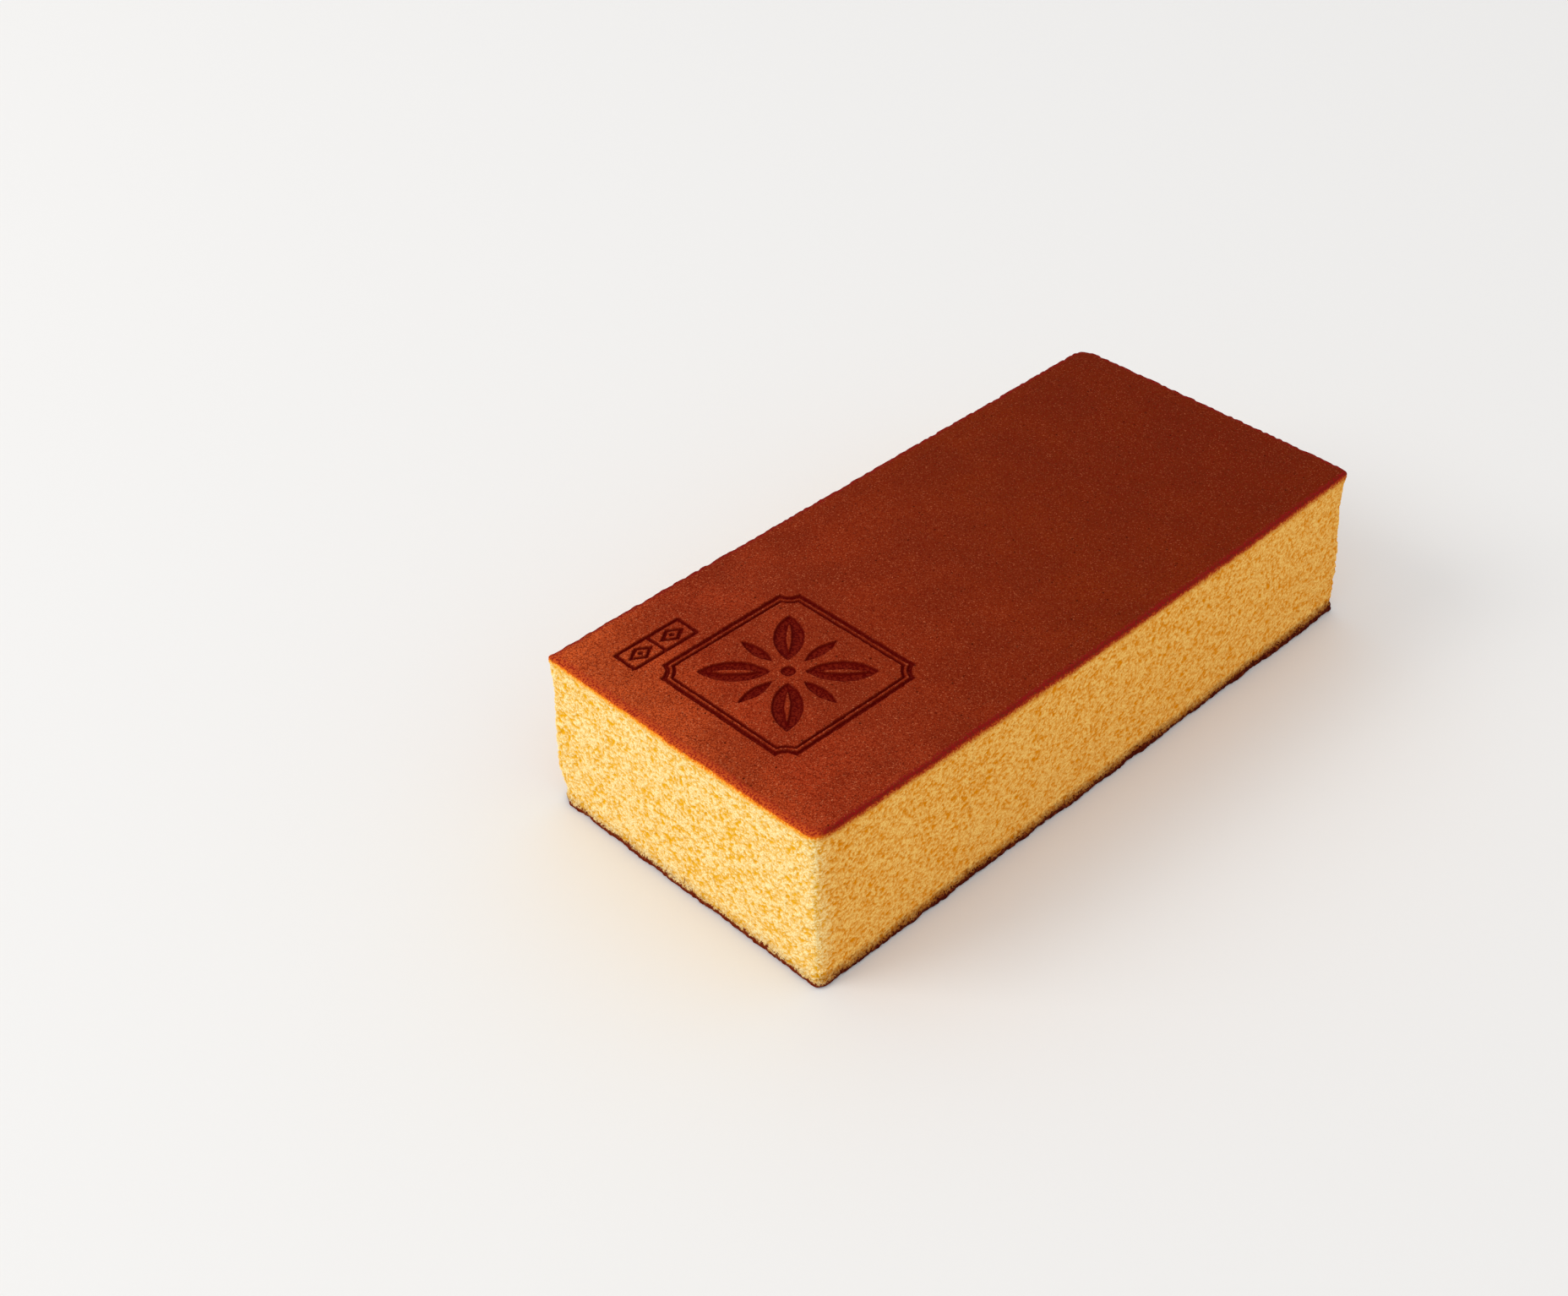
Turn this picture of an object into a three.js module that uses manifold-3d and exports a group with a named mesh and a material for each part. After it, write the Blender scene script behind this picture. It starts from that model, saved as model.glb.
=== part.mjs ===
// A castella: a baked loaf of sponge cake, cut square, with a browned crust on its top and base.
// Millimetres, +Z up, +X along the loaf. The origin is the centre of the base.
// The cake is one solid. Its walls are lofted through level outlines, and the marks are pressed into its top.

import * as THREE from 'three';
import { mergeVertices } from 'three/addons/utils/BufferGeometryUtils.js';
import Module from 'manifold-3d';

// ---------------------------------------------------------------- driving dimensions

const LENGTH = 240;
const WIDTH = 111;
const HEIGHT = 55;

// The wall from the base up: a height, and how far the wall stands inside the loaf's full size there.
// The base crust is the widest part, the sponge is notched above it, swells at a third of the height,
// draws in below the top crust, and the top crust's rim stands out again before it rolls over.
const BASE_CRUST = [[0, 0.5], [0.7, 0], [2.4, 0], [3.4, 0.4]];
const SPONGE = [[8, 0.25], [15, 0.05], [25, 0], [35, 0.15], [45, 0.35], [50, 0.35], [52, 0.2]];
const TOP_RIM = [[53.3, 0], [54.1, 0.05], [54.6, 0.3], [54.85, 0.75], [54.96, 1.5], [55, 3]];
const TOP_FLAT_INSETS = [8, 12];

// The four upright corners, anticlockwise from the -X -Y one: the sides they join, their radius as
// heights with a radius at each, and how far the top crust sinks there.
const CORNERS = [
  { x: -1, y: -1, radii: [[0, 2], [45, 2.2], [52, 3.2], [55, 4.2]], sink: 0 },
  { x: 1, y: -1, radii: [[0, 1], [20, 1], [30, 2.6], [40, 3.4], [50, 2.8], [55, 2]], sink: 0.2 },
  { x: 1, y: 1, radii: [[0, 5], [55, 5]], sink: 0 },
  { x: -1, y: 1, radii: [[0, 5.8], [7, 3.5], [13, 1.2], [30, 2], [42, 2.6], [50, 1.4], [55, 0.9]], sink: 0.2 },
];
const SINK_REACH = 16;

// How far each wall bows: the inward pull at its two ends, the lower coordinate first, at full height.
const WALL_PULLS = {
  minusX: [0.8, 0.2],
  plusX: [0, 0.5],
  minusY: [1.9, 1.6],
  plusY: [0, 0],
};

const CORNER_STEPS = 6;
const LONG_WALL_STEPS = 24;
const SHORT_WALL_STEPS = 12;

// The pressed panel: two square rules with hollowed corners, one inside the other, around a flower.
const PRESS_DEPTH = 0.7;
const PRESS_CLEARANCE = 1;
const PANEL = { x: -75.8, y: 0.9, side: 55.4, cornerNotch: 4.2 };
const OUTER_RULE_WIDTH = 1.4;
const RULE_GAP = 0.8;
const INNER_RULE_WIDTH = 0.9;

const FLOWER_ARMS = 4;
const FLOWER_EYE_RADIUS = 2.2;
const PETAL = { from: 5, to: 26, width: 9 };
const PETAL_RIB = { from: 9, to: 22, width: 1.6 };
const LEAF = { from: 6.5, to: 19.5, width: 3.6 };

// The pressed block beside it: a row of framed cells, each with a lozenge around a dot.
const BLOCK = { x: -93.8, y: 37, length: 25.2, width: 9.8, cornerRadius: 1 };
const BLOCK_CELLS = 2;
const BLOCK_BAR = 1.2;
const CELL_CORNER_RADIUS = 0.5;
const LOZENGE = { length: 9.4, width: 6.2, thickness: 1.1 };
const LOZENGE_DOT_RADIUS = 0.8;

const CRUST_BROWN = '#7f3017';

// ---------------------------------------------------------------- level outlines

function smoothStep(value, low, high) {
  const t = Math.min(Math.max((value - low) / (high - low), 0), 1);
  return t * t * (3 - 2 * t);
}

// The bow of the walls: a point is drawn inwards by the pull of the end it is nearest, as the square
// of its distance from the wall's middle, and in step with its height.
function bowed(x, y, rise) {
  const along = x / (LENGTH / 2);
  const across = y / (WIDTH / 2);
  const longWall = across < 0 ? WALL_PULLS.minusY : WALL_PULLS.plusY;
  const endWall = along < 0 ? WALL_PULLS.minusX : WALL_PULLS.plusX;
  const pullY = longWall[along < 0 ? 0 : 1] * along * along * rise;
  const pullX = endWall[across < 0 ? 0 : 1] * across * across * rise;
  return [x * (1 - pullX / (LENGTH / 2)), y * (1 - pullY / (WIDTH / 2))];
}

function sunk(x, y, rise) {
  let depth = 0;
  for (const corner of CORNERS) {
    const gap = Math.hypot(x - (corner.x * LENGTH) / 2, y - (corner.y * WIDTH) / 2);
    depth += corner.sink * Math.max(1 - gap / SINK_REACH, 0) ** 2;
  }
  return depth * rise;
}

function radiusAt(radii, height) {
  const above = Math.max(radii.findIndex(([level]) => level >= height), 1);
  const [low, lowRadius] = radii[above - 1];
  const [high, highRadius] = radii[above];
  return THREE.MathUtils.lerp(lowRadius, highRadius, (height - low) / (high - low));
}

// The points of one level outline, anticlockwise: each corner's arc, then the wall to the next arc.
function levelOutline(height, inset) {
  const rise = smoothStep(height, 0, HEIGHT);
  const arcs = CORNERS.map((corner, index) => {
    const radius = radiusAt(corner.radii, height);
    const centreX = corner.x * (LENGTH / 2 - inset - radius);
    const centreY = corner.y * (WIDTH / 2 - inset - radius);
    const startAngle = Math.PI + (index * Math.PI) / 2;
    const points = [];
    for (let step = 0; step <= CORNER_STEPS; step += 1) {
      const angle = startAngle + ((Math.PI / 2) * step) / CORNER_STEPS;
      points.push([centreX + radius * Math.cos(angle), centreY + radius * Math.sin(angle)]);
    }
    return points;
  });

  const outline = [];
  arcs.forEach((arc, index) => {
    outline.push(...arc);
    const [fromX, fromY] = arc[arc.length - 1];
    const [toX, toY] = arcs[(index + 1) % arcs.length][0];
    const steps = index % 2 === 0 ? LONG_WALL_STEPS : SHORT_WALL_STEPS;
    for (let step = 1; step < steps; step += 1) {
      const t = step / steps;
      outline.push([THREE.MathUtils.lerp(fromX, toX, t), THREE.MathUtils.lerp(fromY, toY, t)]);
    }
  });

  const upperRise = smoothStep(height, HEIGHT / 2, HEIGHT);
  return outline.map(([x, y]) => {
    const [bowedX, bowedY] = bowed(x, y, rise);
    return [bowedX, bowedY, height - sunk(bowedX, bowedY, upperRise)];
  });
}

// ---------------------------------------------------------------- the loaf

function loafGeometry() {
  const wall = [...BASE_CRUST, ...SPONGE, ...TOP_RIM];
  const flat = TOP_FLAT_INSETS.map((inset) => [HEIGHT, inset]);
  const rings = [...wall, ...flat].map(([height, inset]) => levelOutline(height, inset));
  const count = rings[0].length;

  const faces = [];
  for (let level = 0; level < rings.length - 1; level += 1) {
    for (let index = 0; index < count; index += 1) {
      const here = level * count + index;
      const next = level * count + ((index + 1) % count);
      faces.push(here, next, next + count);
      faces.push(here, next + count, here + count);
    }
  }
  const capFaces = (ring, start, facesUp) => {
    const contour = ring.map(([x, y]) => new THREE.Vector2(x, y));
    for (const [a, b, c] of THREE.ShapeUtils.triangulateShape(contour, [])) {
      faces.push(start + a, start + (facesUp ? b : c), start + (facesUp ? c : b));
    }
  };
  capFaces(rings[0], 0, false);
  capFaces(rings[rings.length - 1], (rings.length - 1) * count, true);

  const geometry = new THREE.BufferGeometry();
  geometry.setAttribute('position', new THREE.Float32BufferAttribute(rings.flat(2), 3));
  geometry.setIndex(faces);
  return geometry;
}

// ---------------------------------------------------------------- the pressed marks

function roundedRectangle(length, width, radius, centreX = 0) {
  const right = centreX + length / 2 - radius;
  const left = centreX - length / 2 + radius;
  const back = width / 2 - radius;
  const shape = new THREE.Shape();
  shape.absarc(right, back, radius, 0, Math.PI / 2);
  shape.absarc(left, back, radius, Math.PI / 2, Math.PI);
  shape.absarc(left, -back, radius, Math.PI, Math.PI * 1.5);
  shape.absarc(right, -back, radius, Math.PI * 1.5, Math.PI * 2);
  return shape;
}

// A square drawn in by an inset, whose corners are hollowed by arcs about the full square's corners.
function notchedSquare(side, inset, notch) {
  const half = side / 2;
  const radius = notch + inset;
  const lean = Math.asin(inset / radius);
  const shape = new THREE.Shape();
  [[1, 1], [-1, 1], [-1, -1], [1, -1]].forEach(([x, y], index) => {
    const quarter = (index * Math.PI) / 2;
    shape.absarc(x * half, y * half, radius, Math.PI * 1.5 - lean + quarter, Math.PI + lean + quarter, true);
  });
  shape.closePath();
  return shape;
}

function notchedRule(side, inset, notch, thickness) {
  const shape = notchedSquare(side, inset, notch);
  shape.holes.push(notchedSquare(side, inset + thickness, notch));
  return shape;
}

// A lozenge drawn in by an even distance from its sides.
function lozenge({ length, width }, inset) {
  const shrink = 1 - (inset * Math.hypot(length, width) * 2) / (length * width);
  const reach = (length / 2) * shrink;
  const rise = (width / 2) * shrink;
  const corners = [[reach, 0], [0, rise], [-reach, 0], [0, -rise]];
  return new THREE.Shape(corners.map(([x, y]) => new THREE.Vector2(x, y)));
}

function lozengeRing() {
  const ring = lozenge(LOZENGE, 0);
  ring.holes.push(lozenge(LOZENGE, LOZENGE.thickness));
  return ring;
}

// A pointed lens along +X, bounded by two equal arcs.
function lens({ from, to, width }) {
  const halfLength = (to - from) / 2;
  const halfWidth = width / 2;
  const radius = (halfLength ** 2 + halfWidth ** 2) / (2 * halfWidth);
  const sweep = Math.asin(halfLength / radius);
  const middle = (from + to) / 2;
  const offset = radius - halfWidth;
  const shape = new THREE.Shape();
  shape.absarc(middle, -offset, radius, Math.PI / 2 - sweep, Math.PI / 2 + sweep);
  shape.absarc(middle, offset, radius, Math.PI * 1.5 - sweep, Math.PI * 1.5 + sweep);
  shape.closePath();
  return shape;
}

function ribbedPetal() {
  const petal = lens(PETAL);
  petal.holes.push(lens(PETAL_RIB));
  return petal;
}

function disc(radius) {
  const shape = new THREE.Shape();
  shape.absarc(0, 0, radius, 0, Math.PI * 2);
  return shape;
}

const ARC_STEPS = 6;

// The solid that presses one shape into the top, turned about its origin and then set in place.
function punch(shape, x, y, turn = 0) {
  const depth = PRESS_DEPTH + PRESS_CLEARANCE;
  const geometry = new THREE.ExtrudeGeometry(shape, { depth, bevelEnabled: false, curveSegments: ARC_STEPS });
  geometry.rotateZ(turn);
  geometry.translate(x, y, HEIGHT - PRESS_DEPTH);
  return geometry;
}

function panelPunches() {
  const { x, y, side, cornerNotch } = PANEL;
  const outerRule = notchedRule(side, 0, cornerNotch, OUTER_RULE_WIDTH);
  const innerRule = notchedRule(side, OUTER_RULE_WIDTH + RULE_GAP, cornerNotch, INNER_RULE_WIDTH);
  const punches = [punch(outerRule, x, y), punch(innerRule, x, y), punch(disc(FLOWER_EYE_RADIUS), x, y)];
  for (let arm = 0; arm < FLOWER_ARMS; arm += 1) {
    const turn = (arm * Math.PI * 2) / FLOWER_ARMS;
    punches.push(punch(lens(LEAF), x, y, turn));
    punches.push(punch(ribbedPetal(), x, y, turn + Math.PI / FLOWER_ARMS));
  }
  return punches;
}

function blockPunches() {
  const { x, y, length, width, cornerRadius } = BLOCK;
  const frame = roundedRectangle(length, width, cornerRadius);
  const cellLength = (length - BLOCK_BAR * (BLOCK_CELLS + 1)) / BLOCK_CELLS;
  const punches = [];
  for (let cell = 0; cell < BLOCK_CELLS; cell += 1) {
    const cellX = (cell - (BLOCK_CELLS - 1) / 2) * (cellLength + BLOCK_BAR);
    frame.holes.push(roundedRectangle(cellLength, width - 2 * BLOCK_BAR, CELL_CORNER_RADIUS, cellX));
    punches.push(punch(lozengeRing(), x + cellX, y));
    punches.push(punch(disc(LOZENGE_DOT_RADIUS), x + cellX, y));
  }
  punches.push(punch(frame, x, y));
  return punches;
}

// ---------------------------------------------------------------- booleans

const manifold = await Module();
manifold.setup();

function toSolid(geometry) {
  const bare = geometry.clone();
  bare.deleteAttribute('normal');
  bare.deleteAttribute('uv');
  const merged = mergeVertices(bare, 1e-4);
  return new manifold.Manifold(
    new manifold.Mesh({
      numProp: 3,
      vertProperties: new Float32Array(merged.attributes.position.array),
      triVerts: new Uint32Array(merged.index.array),
    }),
  );
}

function toGeometry(solid) {
  const { vertProperties, triVerts } = solid.getMesh();
  const geometry = new THREE.BufferGeometry();
  geometry.setAttribute('position', new THREE.BufferAttribute(vertProperties, 3));
  geometry.setIndex(new THREE.BufferAttribute(triVerts, 1));
  geometry.computeVertexNormals();
  return geometry;
}

// ---------------------------------------------------------------- the cake

function castella() {
  let cake = toSolid(loafGeometry());
  for (const geometry of [...panelPunches(), ...blockPunches()]) {
    cake = cake.subtract(toSolid(geometry));
  }
  const crust = new THREE.MeshStandardMaterial({ color: CRUST_BROWN, roughness: 0.8, metalness: 0 });
  const mesh = new THREE.Mesh(toGeometry(cake), crust);
  mesh.name = 'castella';
  return mesh;
}

const cakeGroup = new THREE.Group();
cakeGroup.add(castella());

export default cakeGroup;
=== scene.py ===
"""A castella: a loaf of sponge cake with a browned top and base, and an ornament pressed into its top.

Lengths are in millimetres until a mesh is made, which turns them to metres. The loaf lies along X, its cut
end at -X and its long side at -Y face the camera, and the origin is the middle of its base.
"""

import math
from collections import namedtuple

import bpy
import numpy as np
from mathutils import Matrix, Vector


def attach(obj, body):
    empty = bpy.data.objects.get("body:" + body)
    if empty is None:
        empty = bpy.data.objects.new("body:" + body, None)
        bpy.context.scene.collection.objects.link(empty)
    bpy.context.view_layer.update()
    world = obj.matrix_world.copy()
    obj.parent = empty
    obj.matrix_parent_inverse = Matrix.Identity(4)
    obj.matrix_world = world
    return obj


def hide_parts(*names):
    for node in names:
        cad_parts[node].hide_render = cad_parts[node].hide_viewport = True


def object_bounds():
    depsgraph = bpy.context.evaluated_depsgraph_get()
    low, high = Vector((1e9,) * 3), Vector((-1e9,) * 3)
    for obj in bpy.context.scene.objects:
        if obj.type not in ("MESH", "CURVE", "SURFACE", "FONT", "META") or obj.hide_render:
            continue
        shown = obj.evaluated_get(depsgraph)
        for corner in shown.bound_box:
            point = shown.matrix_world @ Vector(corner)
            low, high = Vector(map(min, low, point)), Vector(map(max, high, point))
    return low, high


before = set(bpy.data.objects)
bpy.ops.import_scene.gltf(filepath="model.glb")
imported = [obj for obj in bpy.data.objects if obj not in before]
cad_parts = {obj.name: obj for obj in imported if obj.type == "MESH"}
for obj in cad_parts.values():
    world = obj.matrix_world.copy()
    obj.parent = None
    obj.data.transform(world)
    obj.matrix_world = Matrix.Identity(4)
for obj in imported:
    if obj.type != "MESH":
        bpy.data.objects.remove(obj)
CAD_BOX = [list(corner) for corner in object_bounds()]

MM = 0.001
HALF_LENGTH, HALF_WIDTH, HEIGHT = (value / MM for value in CAD_BOX[1])

# ---------------- the loaf's form

# From the base up: a height, and how far the wall stands inside the loaf's full size there. It ends where
# the rim gives way to the flat of the top.
WALL_PROFILE = [
    (0, 0.5), (0.7, 0), (2.4, 0), (3.4, 0.4), (8, 0.25), (15, 0.05), (25, 0), (35, 0.15), (45, 0.35),
    (50, 0.35), (52, 0.2), (53.3, 0), (54.1, 0.05), (54.6, 0.3), (54.85, 0.75), (54.96, 1.5), (55, 3),
    (55, 7),
]
RIM_REACH = WALL_PROFILE[-1][1]

# How the profile is sampled: its step, how far it is carried on past its ends, the width of its blur and
# the steps on each side that the blur takes in.
PROFILE_STEP, PROFILE_MARGIN = 0.02, 2
BLUR_WIDTH, BLUR_STEPS = 0.18, 50

# Heights on the wall: where the base crust ends, where the top crust starts, and the crest of its rim.
BASE_CRUST_TOP = 2.4
RIM_FOOT = 52.4
RIM_CREST = 54.6

# The upright corners, anticlockwise from the -X -Y one: their sides, their radius as heights with a radius
# at each, and how far the top sinks there.
CORNERS = [
    (-1, -1, [(0, 2), (45, 2.2), (52, 3.2), (55, 4.2)], 0.0),
    (1, -1, [(0, 1), (20, 1), (30, 2.6), (40, 3.4), (50, 2.8), (55, 2)], 0.2),
    (1, 1, [(0, 5), (55, 5)], 0.0),
    (-1, 1, [(0, 5.8), (7, 3.5), (13, 1.2), (30, 2), (42, 2.6), (50, 1.4), (55, 0.9)], 0.2),
]
SINK_REACH = 16

# Where the wall stands further in than this, its corners tighten by as much, down to the least radius.
TIGHTENING_INSET, LEAST_RADIUS = 0.5, 0.05

# How far the walls are drawn in at their two ends, the lower coordinate first, at full height.
PULL_MINUS_X, PULL_PLUS_X = (0.8, 0.2), (0.0, 0.5)
PULL_MINUS_Y, PULL_PLUS_Y = (1.9, 1.6), (0.0, 0.0)

# The mesh: the step between its points, the fewest levels of a strip, and the columns of a long and of a
# short wall, which are multiples that the runs and the tiles of the top divide evenly.
GRID_STEP = 0.3
LEAST_LEVELS = 6
LONG_MULTIPLE, SHORT_MULTIPLE = 12, 2
LONG_COLUMNS = round(2 * HALF_LENGTH / GRID_STEP / LONG_MULTIPLE) * LONG_MULTIPLE
SHORT_COLUMNS = round(2 * HALF_WIDTH / GRID_STEP / SHORT_MULTIPLE) * SHORT_MULTIPLE
TOP_TILES = 4

# The walls are made in runs that meet on the flat, never on a corner: each wall of a run, counted
# anticlockwise from -Y, and the shares of its length from which and to which the run takes it.
RUNS = {
    "near_middle": [(0, 0.25, 0.75)],
    "near_right": [(0, 0.75, 1.0), (1, 0.0, 0.5)],
    "far_right": [(1, 0.5, 1.0), (2, 0.0, 0.25)],
    "far_middle": [(2, 0.25, 0.75)],
    "far_left": [(2, 0.75, 1.0), (3, 0.0, 0.5)],
    "near_left": [(3, 0.5, 1.0), (0, 0.0, 0.25)],
}


def smooth_step(value, low, high):
    """0 below low and 1 above high, with the cubic 3t^2 - 2t^3 between them."""
    t = np.clip((value - low) / (high - low), 0, 1)
    return t * t * (3 - 2 * t)


def mixed(a, b, share):
    """The value a share of the way from a to b."""
    return a + (b - a) * share


def wall_profile():
    """The profile's points joined by straight lines, sampled evenly along them and blurred by a Gaussian.

    Returns the distance along it, the height, the inset, and how far its outward normal points out and up.
    """
    points = np.array(WALL_PROFILE, float)
    steps = np.hypot(*np.diff(points, axis=0).T)
    distance = np.concatenate([[0], np.cumsum(steps)])
    reach = np.arange(-PROFILE_MARGIN, distance[-1] + PROFILE_MARGIN, PROFILE_STEP)
    offsets = np.arange(-BLUR_STEPS, BLUR_STEPS + 1) * PROFILE_STEP
    kernel = np.exp(-0.5 * (offsets / BLUR_WIDTH) ** 2)
    kernel /= kernel.sum()
    columns = []
    for values in points.T:
        start = values[0] + (values[1] - values[0]) / steps[0] * np.minimum(reach, 0)
        end = (values[-1] - values[-2]) / steps[-1] * np.maximum(reach - distance[-1], 0)
        line = np.interp(reach, distance, values) + start - values[0] + end
        columns.append(np.convolve(line, kernel, mode="same"))
    inside = (reach >= 0) & (reach <= distance[-1])
    height, inset = (values[inside] for values in columns)
    rise, tuck = np.gradient(height), np.gradient(inset)
    size = np.hypot(rise, tuck)
    return reach[inside], height, np.maximum(inset, 0), rise / size, tuck / size


PROFILE = wall_profile()
PROFILE_END = PROFILE[0][-1:]


def profile_levels(low, high):
    """Distances along the profile from one height to the next, a grid step apart; None is the inner end."""
    distance, height = PROFILE[:2]
    start = np.interp(low, height, distance)
    end = distance[-1] if high is None else np.interp(high, height, distance)
    return np.linspace(start, end, max(round((end - start) / GRID_STEP), LEAST_LEVELS) + 1)


def below_crest(levels):
    """The way along the profile from each level up to the rim's crest, as a column."""
    distance, height = PROFILE[:2]
    return (np.interp(RIM_CREST, height, distance) - levels)[:, None]


def bowed(x, y, rise):
    """Each point moves towards the axis by the pull of its wall's nearer end times its squared share of
    the way from the wall's middle to that end, in step with its height."""
    along, across = x / HALF_LENGTH, y / HALF_WIDTH
    near, far = (np.where(along < 0, *pulls) for pulls in (PULL_MINUS_Y, PULL_PLUS_Y))
    left, right = (np.where(across < 0, *pulls) for pulls in (PULL_MINUS_X, PULL_PLUS_X))
    pull_y = np.where(across < 0, near, far) * along**2 * rise
    pull_x = np.where(along < 0, left, right) * across**2 * rise
    return x * (1 - pull_x / HALF_LENGTH), y * (1 - pull_y / HALF_WIDTH)


def sunk(x, y, rise):
    """How far the top sinks: each corner's own depth times the square of 1 - distance / reach."""
    depth = np.zeros_like(x)
    for side_x, side_y, _, sink in CORNERS:
        gap = np.hypot(x - side_x * HALF_LENGTH, y - side_y * HALF_WIDTH)
        depth += sink * np.maximum(1 - gap / SINK_REACH, 0) ** 2
    return depth * rise


def side_surface(side, levels, shares):
    """One wall between the middles of two corners, as a grid of levels by shares of the way round.

    A point runs along half the first corner's arc, the straight wall and half the next corner's arc, evenly
    in length. Returns its place and its outward direction, both as levels x shares x 3.
    """
    distance, all_heights, all_insets, all_out, all_up = PROFILE
    height, inset, out, up = (
        np.interp(levels, distance, values)[:, None] for values in (all_heights, all_insets, all_out, all_up)
    )
    rise = smooth_step(height, 0, HEIGHT)
    turn = side * math.pi / 2
    heading = np.array([math.cos(turn), math.sin(turn)])
    centres, radii = [], []
    for side_x, side_y, radii_by_height, _ in (CORNERS[side], CORNERS[(side + 1) % 4]):
        radius = np.interp(height, *np.array(radii_by_height, float).T)
        radius = np.maximum(radius - np.maximum(inset - TIGHTENING_INSET, 0), LEAST_RADIUS)
        radii.append(radius)
        centres.append((side_x * (HALF_LENGTH - inset - radius), side_y * (HALF_WIDTH - inset - radius)))
    first_arc, last_arc = (radius * math.pi / 4 for radius in radii)
    straight = sum(abs(heading[i]) * abs(centres[1][i] - centres[0][i]) for i in (0, 1))
    way = shares[None, :] * (first_arc + straight + last_arc)
    into_first = np.clip(way / first_arc, 0, 1)
    into_last = np.clip((way - first_arc - straight) / last_arc, 0, 1)
    angle = turn - 0.75 * math.pi + (into_first + into_last) * math.pi / 4
    progress = np.clip(way - first_arc, 0, straight)
    last = into_last > 0
    x, y = (
        np.where(last, centres[1][i], centres[0][i] + heading[i] * progress)
        + np.where(last, *radii[::-1]) * (np.cos(angle), np.sin(angle))[i]
        for i in (0, 1)
    )
    x, y = bowed(x, y, rise)
    z = height - sunk(x, y, smooth_step(height, HEIGHT / 2, HEIGHT))
    outward = np.stack([np.cos(angle) * out, np.sin(angle) * out, up + 0 * angle], -1)
    return np.stack([x, y, z + 0 * x], -1), outward


# ---------------- randomness from place

# The hash's multipliers and shift, and the bits of one drawn number.
HASH_MIX = np.uint64(0x9E3779B97F4A7C15)
HASH_AXES = [np.uint64(0xC2B2AE3D27D4EB4F), np.uint64(0x165667B19E3779F9), np.uint64(0xD6E8FEB86659FD93)]
HASH_SHIFT = np.uint64(32)
DRAW_BITS = 16

# A distance further than counts, and the least length that is divided by.
FAR_AWAY, TINY = 9.0, 1e-6

# A bubble: the share of its cube that its centre wanders over, the share of its radius that its lip takes,
# and what is added to the salt to draw which cubes have one.
BUBBLE_WANDER, BUBBLE_LIP, BUBBLE_CHANCE_SALT = 0.4, 0.35, 7


def cell_draws(cells, salt):
    """Four numbers from 0 to 1 for each whole-numbered cell: the 16-bit parts of a hash of its place."""
    bits = np.full(cells.shape[:-1], salt, np.uint64) * HASH_MIX
    for axis, multiplier in enumerate(HASH_AXES):
        bits ^= cells[..., axis].astype(np.uint64) * multiplier
        bits ^= bits >> HASH_SHIFT
        bits *= HASH_MIX
    bits ^= bits >> HASH_SHIFT
    parts = [(bits >> np.uint64(DRAW_BITS * part)) & np.uint64(2**DRAW_BITS - 1) for part in range(4)]
    return np.stack(parts, -1) / 2.0**DRAW_BITS


def neighbours(low, high):
    """The steps from a cell to its neighbours, from low up to but not including high on each axis."""
    return [np.array([i, j, k]) for i in range(low, high) for j in range(low, high) for k in range(low, high)]


def cloud(points, size, salt):
    """Value noise from -1 to 1: random corner values of a cubic lattice, blended smoothly between them."""
    scaled = points / size
    cells = np.floor(scaled).astype(np.int64)
    share = scaled - cells
    share = share * share * (3 - 2 * share)
    total = np.zeros(points.shape[:-1])
    for step in neighbours(0, 2):
        weight = np.prod(np.where(step == 1, share, 1 - share), axis=-1)
        total += weight * cell_draws(cells + step, salt)[..., 0]
    return total * 2 - 1


def clouds(points, layers):
    """The sum of some layers of clouds, each with its height, its size and its salt."""
    return sum(height * cloud(points, size, salt) for height, size, salt in layers)


def grains(points, size, salt):
    """Cellular noise: the distance to the nearest of scattered points, one in each cube of a lattice."""
    scaled = points / size
    cells = np.floor(scaled).astype(np.int64)
    nearest = np.full(points.shape[:-1], FAR_AWAY)
    for step in neighbours(-1, 2):
        centre = cells + step + cell_draws(cells + step, salt)[..., :3]
        nearest = np.minimum(nearest, np.linalg.norm(centre - scaled, axis=-1))
    return nearest


def bubbles(points, outward, size, small, large, share, salt):
    """How deep round bubbles cut by the surface are: a share of the cubes of a lattice each hold a ball,
    and a point inside one sinks along its inward direction to the ball's far wall."""
    cells = np.round(points / size).astype(np.int64) - 1
    depth = np.zeros(points.shape[:-1])
    for step in neighbours(0, 2):
        draws = cell_draws(cells + step, salt)
        chance = cell_draws(cells + step, salt + BUBBLE_CHANCE_SALT)[..., 0]
        centre = (cells + step + (1 - BUBBLE_WANDER) / 2 + BUBBLE_WANDER * draws[..., :3]) * size
        radius = mixed(small, large, draws[..., 3] ** 2)
        gap = centre - points
        forward = -np.sum(gap * outward, axis=-1)
        squared = np.sum(gap * gap, axis=-1)
        wall = forward + np.sqrt(np.maximum(radius**2 - squared + forward**2, 0))
        lip = smooth_step(radius - np.sqrt(squared), 0, BUBBLE_LIP * radius)
        depth = np.maximum(depth, np.where((chance < share) & (squared < radius**2), wall * lip, 0))
    return depth


# ---------------- the pressed ornament

PRESS_DEPTH = 0.7

# The square panel: its middle, its side, the radius of its hollowed corners, and its two rules.
PANEL_X, PANEL_Y, PANEL_SIDE, PANEL_NOTCH = -75.8, 0.9, 55.4, 4.2
OUTER_RULE, RULE_GAP, INNER_RULE = 1.4, 0.8, 0.9

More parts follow.
